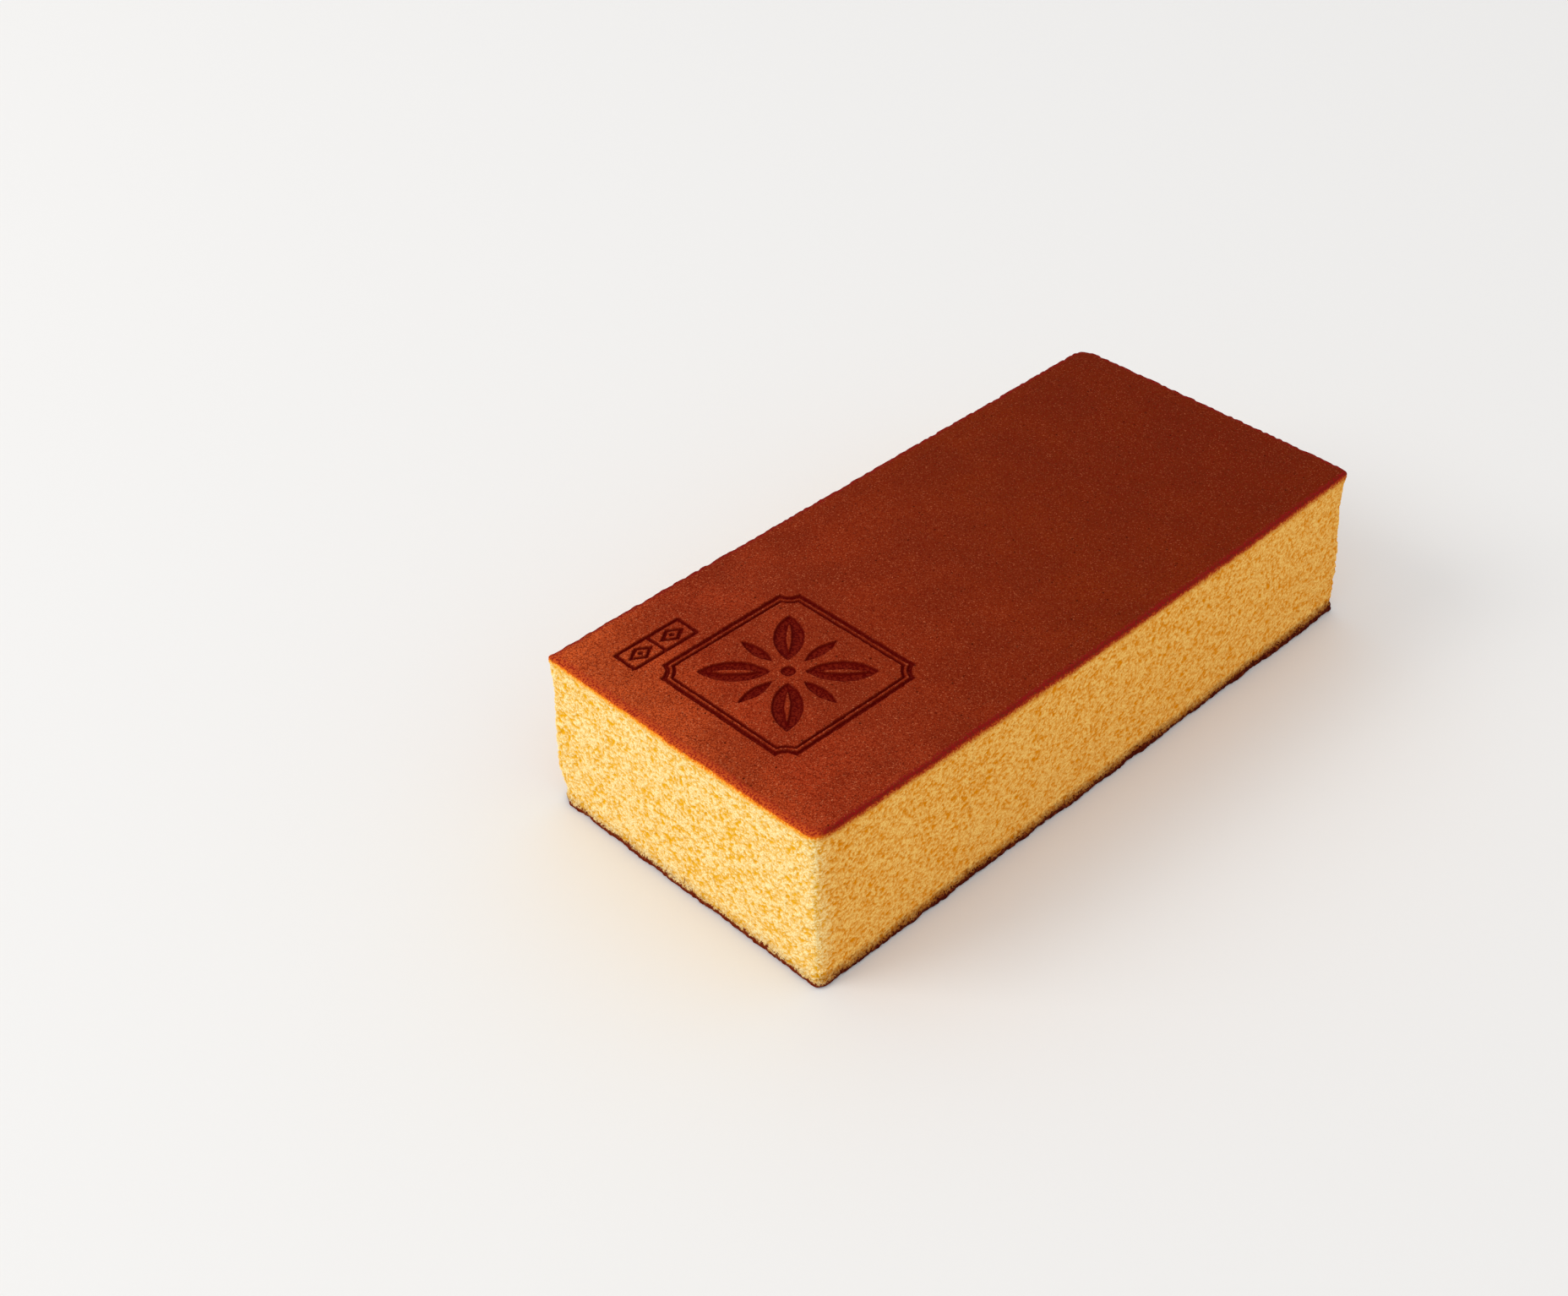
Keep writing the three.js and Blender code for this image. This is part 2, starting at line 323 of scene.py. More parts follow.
# Its flower: an eye, and on each arm a petal with a rib left proud in it and a leaf before it. Each is a
# lens, given by where it starts and ends along its arm and by its width.
FLOWER_ARMS = 4
FLOWER_EYE = 2.2
PETAL = (5.0, 26.0, 9.0)
PETAL_RIB = (9.0, 22.0, 1.6)
LEAF = (6.5, 19.5, 3.6)

# The block beside it: its middle and size, its cells and the bars round them, and the lozenge in each cell.
BLOCK_X, BLOCK_Y, BLOCK_LENGTH, BLOCK_WIDTH, BLOCK_RADIUS = -93.8, 37.0, 25.2, 9.8, 1.0
BLOCK_CELLS, BLOCK_BAR, CELL_RADIUS = 2, 1.2, 0.5
LOZENGE_LENGTH, LOZENGE_WIDTH, LOZENGE_THICKNESS, LOZENGE_DOT = 9.4, 6.2, 1.1, 0.8


def box_gap(x, y, length, width, radius):
    """Signed distance to a rounded rectangle, negative inside it."""
    dx, dy = np.abs(x) - length / 2 + radius, np.abs(y) - width / 2 + radius
    return np.hypot(np.maximum(dx, 0), np.maximum(dy, 0)) + np.minimum(np.maximum(dx, dy), 0) - radius


def band_gap(gap, start, thickness):
    """Signed distance to a band inside an outline, from start to start + thickness within it."""
    return np.abs(gap + start + thickness / 2) - thickness / 2


def notched_gap(x, y):
    """Signed distance to the panel: a square, less a disc about each of its corners."""
    half = PANEL_SIDE / 2
    corner = np.hypot(np.abs(x) - half, np.abs(y) - half)
    return np.maximum(np.maximum(np.abs(x), np.abs(y)) - half, PANEL_NOTCH - corner)


def lozenge_gap(x, y):
    """Signed distance to the sides of a lozenge."""
    reach, rise = LOZENGE_LENGTH / 2, LOZENGE_WIDTH / 2
    return (np.abs(x) / reach + np.abs(y) / rise - 1) * reach * rise / math.hypot(reach, rise)


def lens_gap(x, y, lens):
    """Signed distance to a pointed lens along +X, the overlap of two equal discs."""
    start, end, width = lens
    half, bulge = (end - start) / 2, width / 2
    radius = (half**2 + bulge**2) / (2 * bulge)
    middle = x - (start + end) / 2
    return np.hypot(middle, np.abs(y) + radius - bulge) - radius


def turned(x, y, angle):
    """A point's place along a direction at the angle, and across it."""
    return x * math.cos(angle) + y * math.sin(angle), y * math.cos(angle) - x * math.sin(angle)


def ornament_gap(x, y):
    """Signed distance to the whole ornament: the least of the distances to its rules, flower and block."""
    px, py = x - PANEL_X, y - PANEL_Y
    panel = notched_gap(px, py)
    gap = np.minimum(band_gap(panel, 0, OUTER_RULE), band_gap(panel, OUTER_RULE + RULE_GAP, INNER_RULE))
    gap = np.minimum(gap, np.hypot(px, py) - FLOWER_EYE)
    for arm in range(FLOWER_ARMS):
        angle = arm * 2 * math.pi / FLOWER_ARMS
        gap = np.minimum(gap, lens_gap(*turned(px, py, angle), LEAF))
        along, across = turned(px, py, angle + math.pi / FLOWER_ARMS)
        petal = np.maximum(lens_gap(along, across, PETAL), -lens_gap(along, across, PETAL_RIB))
        gap = np.minimum(gap, petal)
    bx, by = x - BLOCK_X, y - BLOCK_Y
    cell_length = (BLOCK_LENGTH - BLOCK_BAR * (BLOCK_CELLS + 1)) / BLOCK_CELLS
    block = box_gap(bx, by, BLOCK_LENGTH, BLOCK_WIDTH, BLOCK_RADIUS)
    for cell in range(BLOCK_CELLS):
        cx = bx - (cell - (BLOCK_CELLS - 1) / 2) * (cell_length + BLOCK_BAR)
        block = np.maximum(block, -box_gap(cx, by, cell_length, BLOCK_WIDTH - 2 * BLOCK_BAR, CELL_RADIUS))
        lozenge = band_gap(lozenge_gap(cx, by), 0, LOZENGE_THICKNESS)
        gap = np.minimum(gap, np.minimum(lozenge, np.hypot(cx, by) - LOZENGE_DOT))
    return np.minimum(gap, block)


# ---------------- crumb and crust relief

# The deepest a hole goes, how far in a strip's core lies, and how far the crumb and the base may stand out.
DEEPEST, CORE_DEPTH = 1.3, 1.7
PROUDEST, BASE_PROUDEST = 0.2, 0.9

# How far each relief is moved out, which keeps the middle of it near the smooth surface.
CRUMB_LEVEL, CRUST_LEVEL, BASE_LEVEL = 0.03, -0.02, 0.8

# Each of the layers of clouds below is its height, its size and the salt of its random draws.

# The crumb: how much flatter than round it is, the clouds that shake it along X, Y and Z, the reach of the
# rougher crumb by an upright edge, and how deep and how far the -X -Y edge is worn.
CRUMB_FLATNESS = 1.25
SHAKES = [(0.3, 1.1, salt) for salt in (61, 62, 63)]
ROUGH_REACH = 9
WORN_DEPTH, WORN_REACH = 0.8, 3

# Its valleys: the size, salt, usual distance and weight of its clumps, and the clouds added to them.
CLUMP_SIZE, CLUMP_SALT, CLUMP_MIDDLE, CLUMP_WEIGHT = 1.5, 11, 0.55, 0.75
VALLEY_CLOUDS = [(0.07, 3.5, 17), (0.28, 1.0, 18)]
FINE_SIZE, FINE_SALT, FINE_WEIGHT = 0.5, 19, 0.42

# Its dots: a cloud, the share it has beside the fine one, and where in the two a dot starts and is full. Its
# bubbles cut open: the size of their cubes, their radii, and the share of the cubes that have one.
DOT_SIZE, DOT_SALT, DOT_SHARE, DOT_START, DOT_FULL = 0.9, 20, 0.55, 0.25, 0.65
CRUMB_HOLES = {"size": 3.2, "small": 0.4, "large": 1.1, "share": 0.7, "salt": 15}

# How deep each of these is, and the lumps by an upright edge and the waves of the whole wall.
VALLEY_DEPTH, ROUGH_DEPTH, DOT_DEPTH, HOLE_DEPTH = 0.34, 0.4, 0.18, 0.32
LUMP_MIDDLE, LUMPS = 0.16, [(0.32, 2.2, 64)]
WAVES = [(0.14, 9, 16)]

# How amber the crumb is, at the cut end and on the other sides: everywhere, and by each of these. The even
# and clouded amber is the crumb's own tone; the amber in its valleys and dots is painted shade for light
# sinking into it.
AMBER_EVENLY, AMBER_VALLEY, AMBER_DOT, AMBER_CLOUD = (0.34, 0.3), (2.2, 2.0), (0.15, 0.7), (0.3, 0.1)
AMBER_CLOUDS = [(1.0, 2.4, 65)]

# The skin: its swell and wrinkles, its coarser grain by the rim and where that starts and is full, and its
# pinholes: their depth at most, the share of it that is real, and the depth from which they are fully
# darkened as painted shade.
SKIN_CLOUDS = [(0.16, 22, 21), (0.05, 5, 22), (0.04, 0.9, 23)]
RIM_CLOUDS, RIM_START, RIM_FULL = [(0.24, 1.3, 25)], -3, -0.3
PINHOLES = {"size": 1.6, "small": 0.12, "large": 0.4, "share": 0.3, "salt": 24}
PINHOLE_DEEPEST, PINHOLE_SHARE, PINHOLE_SHADE_DEPTH = 0.4, 0.6, 0.3

# The torn base: its scattered tears, the clouds added to them, and the depth where it starts to darken, which
# is painted shade down its notches.
TEAR_SIZE, TEAR_SALT, TEAR_DEPTH = 2.4, 31, 0.5
BASE_MIDDLE, BASE_CLOUDS = 0.25, [(0.25, 0.9, 32), (0.35, 7, 33)]
NOTCH_START = 0.3

# Which walls are golden: how far a wall faces -X where it is still all golden, and where it is all pale; how
# golden a long side is where it meets the cut end, and the way over which it becomes all golden. The golden
# walls take the deeper, warmer colours of the side that stood in shade, partly their own and partly painted
# shade; the paler strip by the cut end is partly painted light from that lit end.
FACING_GOLDEN, FACING_PALE, FACING_CLOUDS = 0.1, 0.9, [(0.2, 2.5, 44)]
LEAST_GOLDEN, PALE_REACH, PALE_CLOUDS = 0.3, 9, [(2, 4, 45)]

# How the edge of the top crust and that of the base wander.
EDGE_CLOUDS = [(0.16, 1.1, 41), (0.2, 3.5, 42), (0.2, 15, 43)]
FOOT_CLOUDS = [(0.4, 1.0, 51), (0.35, 3.2, 52), (0.6, 18, 53)]

# How far down from the crest the top crust reaches on the cut end and on the other sides, and over what way
# it fades out; where about its own top the base crust does; and how much thinner it looks on the cut end.
END_CRUST, SIDE_CRUST, CRUST_FADE = 0.2, 1.15, 0.8
BASE_FADE_START, BASE_FADE_END = -0.5, 0.4
END_FOOT_LIFT = 0.25

# The marks: where the surface counts as the top, how their edges fray, from where to where a mark sinks,
# and where the dark line along their edges lies and how far that reaches.
WALL_UP, TOP_UP = 0.55, 0.95
FRAY_CLOUDS = [(0.14, 0.6, 71), (0.12, 1.7, 72)]
PRESS_FULL, PRESS_START = -0.35, 0.1
SEAM_PLACE, SEAM_REACH = -0.2, 0.5


def crumb_relief(points, outward, golden):
    """The cut crumb: soft clumps with amber valleys between them, small dots, and bubbles cut open.

    A valley is the distance to the nearest of scattered points plus clouds of three sizes, and a dot is
    where two clouds together are high. All of it is shaken out of round by further clouds. Near an upright
    edge the valleys are deeper and lumps are added, and the -X -Y edge is worn back. Returns the depth below
    the wall, and how amber the crumb is, from 0 to 1: partly its own tone, and partly painted shade in its
    valleys, dots and bubbles.
    """
    flattened = points * (1, 1, CRUMB_FLATNESS)
    shaken = flattened + np.stack([clouds(flattened, [shake]) for shake in SHAKES], -1)
    x, y = points[..., 0], points[..., 1]
    near_edge = np.exp(-np.hypot(HALF_LENGTH - np.abs(x), HALF_WIDTH - np.abs(y)) / ROUGH_REACH)
    worn = WORN_DEPTH * np.exp(-(((x + HALF_LENGTH) ** 2 + (y + HALF_WIDTH) ** 2) / WORN_REACH**2))
    clump = grains(shaken, CLUMP_SIZE, CLUMP_SALT) - CLUMP_MIDDLE
    fine = cloud(shaken, FINE_SIZE, FINE_SALT)
    valley = CLUMP_WEIGHT * clump + clouds(shaken, VALLEY_CLOUDS) + FINE_WEIGHT * fine
    dots = smooth_step(mixed(fine, cloud(shaken, DOT_SIZE, DOT_SALT), DOT_SHARE), DOT_START, DOT_FULL)
    holes = np.minimum(bubbles(shaken, outward, **CRUMB_HOLES), DEEPEST)
    depth = (VALLEY_DEPTH + ROUGH_DEPTH * near_edge) * valley + DOT_DEPTH * dots + HOLE_DEPTH * holes
    depth += near_edge * (LUMP_MIDDLE + clouds(points, LUMPS)) + worn + clouds(points, WAVES)
    amber = mixed(*AMBER_EVENLY, golden) + mixed(*AMBER_VALLEY, golden) * valley
    amber += mixed(*AMBER_DOT, golden) * dots + mixed(*AMBER_CLOUD, golden) * clouds(points, AMBER_CLOUDS)
    return depth - CRUMB_LEVEL, np.clip(amber + holes, 0, 1)


def crust_relief(points, outward, edge):
    """The baked skin: a slow swell, fine wrinkles and pinholes, and coarser grain towards its edge.

    Returns the depth below the smooth skin, and how far a point is down a pinhole, from 0 to 1, by which the
    pinhole is darkened as painted shade.
    """
    depth = clouds(points, SKIN_CLOUDS) + smooth_step(edge, RIM_START, RIM_FULL) * clouds(points, RIM_CLOUDS)
    pits = np.minimum(bubbles(points, outward, **PINHOLES), PINHOLE_DEEPEST)
    return depth + PINHOLE_SHARE * pits - CRUST_LEVEL, np.clip(pits / PINHOLE_SHADE_DEPTH, 0, 1)


def base_relief(points):
    """The ragged base crust: lumps and notches that stand up to a millimetre out over the plate.

    Its depth is the squared distance to the nearest of scattered points plus clouds of two sizes. Returns
    it, and how far a point is down a notch, from 0 to 1.
    """
    nearest = grains(points, TEAR_SIZE, TEAR_SALT)
    lumps = TEAR_DEPTH * np.minimum(nearest, 1) ** 2 + BASE_MIDDLE + clouds(points, BASE_CLOUDS)
    return lumps - BASE_LEVEL, np.clip(lumps - NOTCH_START, 0, 1)


def where_needed(mask, relief, *arrays):
    """Runs a relief only for the points in the mask, and gives 0 for the rest."""
    results = relief(*(array[mask] for array in arrays))
    full = np.zeros((2, *mask.shape))
    full[:, mask] = results
    return full


def golden_share(points, outward):
    """0 on the cut end at -X and 1 on the other sides, but less on a long side near that end.

    The other sides' colours are partly their own and partly painted shade, and the paler part near the end
    is partly painted light.
    """
    facing_end = -outward[..., 0] / np.maximum(np.hypot(outward[..., 0], outward[..., 1]), TINY)
    golden = 1 - smooth_step(facing_end + clouds(points, FACING_CLOUDS), FACING_GOLDEN, FACING_PALE)
    from_end = points[..., 0] + HALF_LENGTH + clouds(points, PALE_CLOUDS)
    return golden * mixed(LEAST_GOLDEN, 1.0, smooth_step(from_end, 0, PALE_REACH))


def baked_surface(points, outward, below):
    """Sinks a smooth surface by its relief, and says for every point how it is baked.

    below is the way down from the rim's crest in millimetres, less than 0 on the top. Of the looks, edge is
    that way with a ragged wander, golden runs from 0 on the -X end to 1 on the other sides, foot is the
    height above the base with a ragged wander, pore is how far a point is down a hole, pressed is 1 where
    the iron was, and seam is 1 along the edges of its marks. The colours that golden brings are partly the
    sides' own and partly painted shade; pore colours holes as painted shade, and on the crumb it also
    carries the crumb's own amber tone.
    """
    x, y, z = np.moveaxis(points, -1, 0)
    golden = golden_share(points, outward)
    edge = below + clouds(points, EDGE_CLOUDS)
    foot = z + clouds(points, FOOT_CLOUDS)
    crust_share = 1 - smooth_step(edge - mixed(END_CRUST, SIDE_CRUST, golden), 0, CRUST_FADE)
    base_share = 1 - smooth_step(foot - BASE_CRUST_TOP, BASE_FADE_START, BASE_FADE_END)

    crumb, hole = where_needed((crust_share < 1) & (base_share < 1), crumb_relief, points, outward, golden)
    skin, pit_shade = where_needed(crust_share > 0, crust_relief, points, outward, edge)
    base, notch = where_needed(base_share > 0, base_relief, points)
    depth = mixed(mixed(crumb, skin, crust_share), base, base_share)
    pore = mixed(mixed(hole, pit_shade, crust_share), notch, base_share)

    upper = smooth_step(outward[..., 2], WALL_UP, TOP_UP)
    gap = np.full(z.shape, FAR_AWAY)
    top = upper > 0
    gap[top] = ornament_gap(x[top], y[top]) + clouds(points[top], FRAY_CLOUDS)
    pressed = (1 - smooth_step(gap, PRESS_FULL, PRESS_START)) * upper
    depth = np.maximum(depth, -mixed(PROUDEST, BASE_PROUDEST, base_share)) + PRESS_DEPTH * pressed
    looks = {
        "golden": golden,
        "edge": edge,
        "foot": foot + END_FOOT_LIFT * (1 - golden),
        "pore": pore,
        "pressed": pressed,
        "seam": np.clip(1 - np.abs(gap - SEAM_PLACE) / SEAM_REACH, 0, 1) * upper,
    }
    moved = points - outward * depth[..., None]
    moved[..., 2] = np.clip(moved[..., 2], 0, HEIGHT)
    return moved, looks


# ---------------- meshes


def made_piece(name, points, hidden_faces, outer_faces, looks, material):
    """A mesh object at the origin from points in millimetres. Its outer faces are smooth and come last, so
    that a point on their border is shaded by them."""
    mesh = bpy.data.meshes.new(name)
    mesh.vertices.add(len(points))
    mesh.vertices.foreach_set("co", (points * MM).astype(np.float32).ravel())
    faces = [*hidden_faces, outer_faces]
    sizes = np.array([len(block[0]) for block in faces for _ in range(len(block))])
    corners = np.concatenate([block.ravel() for block in faces])
    mesh.loops.add(len(corners))
    mesh.loops.foreach_set("vertex_index", corners.astype(np.int32))
    mesh.polygons.add(len(sizes))
    mesh.polygons.foreach_set("loop_start", np.concatenate([[0], np.cumsum(sizes)[:-1]]).astype(np.int32))
    mesh.update(calc_edges=True)
    smooth = np.zeros(len(sizes), bool)
    smooth[-len(outer_faces) :] = True
    mesh.polygons.foreach_set("use_smooth", smooth)
    for look, values in looks.items():
        mesh.attributes.new(look, "FLOAT", "POINT").data.foreach_set("value", values.astype(np.float32))
    mesh.materials.append(material)
    piece = bpy.data.objects.new(name, mesh)
    bpy.context.scene.collection.objects.link(piece)
    return piece


def grid_faces(rows, columns):
    """The quads of a grid of points, row after row, wound for a grid whose columns run to the right and
    whose rows run up as seen from outside."""
    here = (np.arange(rows - 1)[:, None] * columns + np.arange(columns - 1)).ravel()
    return np.stack([here, here + 1, here + columns + 1, here + columns], -1)


def closed_strip(name, outer, looks, backs, cores, material):
    """A solid band: the outer grid, a back of the given rows of points behind it, and its two end caps.

    The rows run up the outside and on down the back to the first row again. At each end a ladder of quads
    joins the outer column to its core, a column of points just behind it, and a fan closes the rest, about
    the point halfway from the core's middle to the back's.
    """
    rows, columns = outer.shape[:2]
    grid = np.concatenate([outer, *[back[None] for back in backs]])
    all_rows = len(grid)
    here = (all_rows - 1) * columns + np.arange(columns - 1)
    closing = np.stack([here, here + 1, np.arange(columns - 1) + 1, np.arange(columns - 1)], -1)
    point_blocks, hidden = [grid.reshape(-1, 3)], [closing]
    for end, core in zip((0, columns - 1), cores):
        start = sum(len(block) for block in point_blocks)
        middle = (core.mean(axis=0) + np.mean([back[end] for back in backs], axis=0)) / 2
        point_blocks += [core, middle[None]]
        ring = np.arange(all_rows) * columns + end
        inside = start + np.arange(rows)
        ladder = np.stack([ring[: rows - 1], ring[1:rows], inside[1:], inside[:-1]], -1)
        loop = np.concatenate([inside, ring[rows - 1 :], ring[:1]])
        fan = np.stack([loop, np.roll(loop, -1), np.full(len(loop), start + rows)], -1)
        hidden += [cap if end == 0 else cap[:, ::-1] for cap in (ladder, fan)]
    points = np.concatenate(point_blocks)
    extra = len(points) - rows * columns
    padded = {look: np.pad(values.ravel(), (0, extra), mode="edge") for look, values in looks.items()}
    outer_quads, back_quads = np.split(grid_faces(all_rows, columns), [(rows - 1) * (columns - 1)])
    return made_piece(name, points, [back_quads, *hidden], outer_quads, padded, material)


def closed_tile(name, outer, looks, depth, material):
    """A solid slab: the outer grid, a skirt straight down from its border, and a fan that closes it below."""
    rows, columns = outer.shape[:2]
    index = np.arange(rows * columns).reshape(rows, columns)
    border = np.concatenate([index[0, :-1], index[:-1, -1], index[-1, :0:-1], index[:0:-1, 0]])
    surface = outer.reshape(-1, 3)
    foot = surface[border].copy()
    foot[:, 2] = HEIGHT - depth
    points = np.concatenate([surface, foot, foot.mean(axis=0)[None]])
    feet = len(surface) + np.arange(len(border))
    next_border, next_feet = np.roll(border, -1), np.roll(feet, -1)
    skirt = np.stack([border, feet, next_feet, next_border], -1)
    fan = np.stack([feet, np.full(len(feet), len(points) - 1), next_feet], -1)
    padded = {look: np.pad(values.ravel(), (0, len(foot) + 1), mode="edge") for look, values in looks.items()}
    return made_piece(name, points, [skirt, fan], grid_faces(rows, columns), padded, material)


def wall_columns(side):
    """How many columns a wall has: the sides at -Y and +Y are the long ones."""
    return LONG_COLUMNS if side % 2 == 0 else SHORT_COLUMNS


def run_walls(spans):
    """Each wall of a run with the shares of its columns; a wall after another leaves out their corner."""
    walls = []
    for side, start, end in spans:
        columns = wall_columns(side)
        first = round(start * columns) + (1 if walls else 0)
        walls.append((side, np.arange(first, round(end * columns) + 1) / columns))
    return walls


def inner_row(walls, height):
    """The points behind a run at one height, at the reach of the rim."""
    row = np.concatenate([side_surface(side, PROFILE_END, shares)[0][0] for side, shares in walls])
    row[:, 2] = height
    return row


def strip_pieces(label, low, high, back_heights, material):
    """A closed strip for each run, from one height of the wall to another, with its back at the rim's reach.

    The sponge's strips stand between the two crusts, and the rim's run from the wall over the rolled edge.
    """
    levels = profile_levels(low, high)
    pieces = []
    for name, spans in RUNS.items():
        walls = run_walls(spans)
        grids = [side_surface(side, levels, shares) for side, shares in walls]
        points, outward = (np.concatenate(grid, axis=1) for grid in zip(*grids))
        outer, looks = baked_surface(points, outward, below_crest(levels))
        backs = [inner_row(walls, height) for height in back_heights]
        cores = [points[:, column] - CORE_DEPTH * outward[:, column] for column in (0, -1)]
        pieces.append(closed_strip(f"{label}_{name}", outer, looks, backs, cores, material))
    return pieces


def top_pieces(material):
    """The top crust inside the rim: a bowed rectangular grid, cut across into equal tiles."""
    x, y = np.meshgrid(
        np.linspace(RIM_REACH - HALF_LENGTH, HALF_LENGTH - RIM_REACH, LONG_COLUMNS + 1),
        np.linspace(RIM_REACH - HALF_WIDTH, HALF_WIDTH - RIM_REACH, SHORT_COLUMNS + 1),
    )
    x, y = bowed(x, y, 1.0)
    points = np.stack([x, y, HEIGHT - sunk(x, y, 1.0)], -1)
    for side, border in enumerate([points[0], points[:, -1], points[-1, ::-1], points[::-1, 0]]):
        border[:] = side_surface(side, PROFILE_END, np.linspace(0, 1, len(border)))[0][0]
    outward = np.zeros_like(points)
    outward[..., 2] = 1
    pieces = []
    for tile in range(TOP_TILES):
        span = slice(tile * LONG_COLUMNS // TOP_TILES, (tile + 1) * LONG_COLUMNS // TOP_TILES + 1)
        outer, looks = baked_surface(points[:, span], outward[:, span], -RIM_REACH)
        pieces.append(closed_tile(f"crust_top_{tile + 1}", outer, looks, HEIGHT - RIM_FOOT, material))
    return pieces


def base_piece(material):
    """The base crust: a plate whose ragged edge runs all round, closed above and below by fans."""
    levels = profile_levels(0, BASE_CRUST_TOP)
    rings, all_looks = [], []
    for side in range(4):
        shares = np.linspace(0, 1, wall_columns(side) + 1)[:-1]
        outer, looks = baked_surface(*side_surface(side, levels, shares), below_crest(levels))
        rings.append(outer)
        all_looks.append(looks)
    ring = np.concatenate(rings, axis=1)
    rows, columns = ring.shape[:2]
    index = np.arange(rows * columns).reshape(rows, columns)
    around = np.concatenate([index, index[:, :1]], axis=1)
    quads = np.stack([around[:-1, :-1], around[:-1, 1:], around[1:, 1:], around[1:, :-1]], -1).reshape(-1, 4)
    points = np.concatenate([ring.reshape(-1, 3), [[0, 0, 0], [0, 0, BASE_CRUST_TOP]]])
    bottom, top = around[0], around[-1]
    below = np.stack([bottom[1:], bottom[:-1], np.full(columns, rows * columns)], -1)
    above = np.stack([top[:-1], top[1:], np.full(columns, rows * columns + 1)], -1)
    looks = {
        look: np.pad(np.concatenate([part[look] for part in all_looks], axis=1).ravel(), (0, 2), mode="edge")
        for look in all_looks[0]
    }
    return made_piece("base_crust", points, [below, above], quads, looks, material)


# ---------------- materials


def linear(colour):
    """An sRGB hex colour as linear red, green, blue and alpha, by the sRGB standard's curve."""
    parts = [int(colour[i : i + 2], 16) / 255 for i in (1, 3, 5)]
    return (*[p / 12.92 if p <= 0.04045 else ((p + 0.055) / 1.055) ** 2.4 for p in parts], 1.0)


def add(tree, kind, output, inputs, stops=(), **settings):
    """Adds a node with its settings, and returns one of its outputs, or None where output is None.

    Its inputs are given by name or place: a value, a hex colour, or another node's output to link. A colour
    ramp's stops are each a share of the way and a linear colour with its cover.
    """
    node = tree.nodes.new(kind)
    for setting, value in settings.items():
        setattr(node, setting, value)
    for key, value in inputs.items():
        if isinstance(value, bpy.types.NodeSocket):
            tree.links.new(value, node.inputs[key])
        else:
            node.inputs[key].default_value = linear(value) if isinstance(value, str) else value
    for order, (share, colour) in enumerate(stops):
        elements = node.color_ramp.elements
        element = elements[order] if order < len(elements) else elements.new(share)
        element.position = share
        element.color = colour
    return None if output is None else node.outputs[output]


MIX, RANGE, RAMP = "ShaderNodeMix", "ShaderNodeMapRange", "ShaderNodeValToRGB"
NOISE, CELLS = "ShaderNodeTexNoise", "ShaderNodeTexVoronoi"
MATHS, VECTOR = "ShaderNodeMath", "ShaderNodeVectorMath"
COLOUR = {"data_type": "RGBA"}
SMOOTH = {"interpolation_type": "SMOOTHSTEP"}

# Scattered marks: the pattern they come from, its size in millimetres and its layers of detail, where in it
# a mark starts and is full, and how much a full one covers.
Marks = namedtuple("Marks", "pattern size detail start full cover")

# Each span below is a range node's sockets: over 1 to 2 of its input it gives 3 to 4, or else 0 to 1.

# The crumb's colour and its pores', on the cut end and on the other sides. The pores' amber is painted shade
# for light that sinks into the crumb's cells and bubbles.
CRUMB_END, CRUMB_SIDE = "#ffebae", "#f6c86e"
PORE_END, PORE_SIDE = "#ebab12", "#da8400"
MOTTLE = Marks(NOISE, 0.5, 1, 0.4, 0.66, 0.58)
PORES = Marks(CELLS, 1.3, 0, 0.32, 0.12, 0.5)

# The top skin's colour, paler towards the -X +Y corner, partly its own browning and partly painted sheen of
# the key light on that side: metres along a slanting line, the colour there, and how much it covers. Then the
# marks on it, and the pressed ornament's colours.
SKIN_SLANT = (1, -0.3, 0)
SKIN_SPAN = {1: -0.13, 2: 0.1}
SKIN_TONES = [
    (-0.13, "#d25a28", 1.0), (-0.095, "#a4391a", 1.0), (-0.07, "#963518", 1.0), (-0.035, "#892e11", 1.0),
    (0.02, "#792a0b", 1.0), (0.1, "#6e2307", 1.0),
]
# Of these colours, the pinholes' is painted shade and the sparkles' is a painted highlight; the clouding and
# grain are the skin's own.
SHADE, GRAIN, PAINTED_PIT_SHADE, PAINTED_HIGHLIGHT = "#5c1c0c", "#6c1402", "#481004", "#d07850"
SHADES = Marks(NOISE, 16, 2, 0.3, 0.7, 0.35)
GRAINS = Marks(NOISE, 0.4, 1, 0.38, 0.66, 0.8)
PINHOLE_SHADES = Marks(CELLS, 0.8, 0, 0.36, 0.1, 0.65)
# Painted highlights: bright spots that stand in for the key light's glints on the skin, covering most towards
# the -X end.
PAINTED_HIGHLIGHTS = Marks(CELLS, 0.7, 0, 0.34, 0.1, 1)
PAINTED_HIGHLIGHT_SPAN = {1: -0.12, 2: 0.02, 3: 0.65, 4: 0.3}
SHAKER_SIZE, SHAKER_REACH = 0.8, 1.6
PRESSED, PRESSED_DEEP, PRESSED_SEAM = "#6e180a", "#500402", "#500000"
PATCHES = Marks(NOISE, 0.6, 1, 0.4, 0.6, 1)

# Baking across the rim: millimetres down from its crest, the colour there, and how much it covers. Then the
# grain that frays it, its dots, and where the skin under it gives way to crumb.
RIM_SPAN = {1: -3, 2: 4}
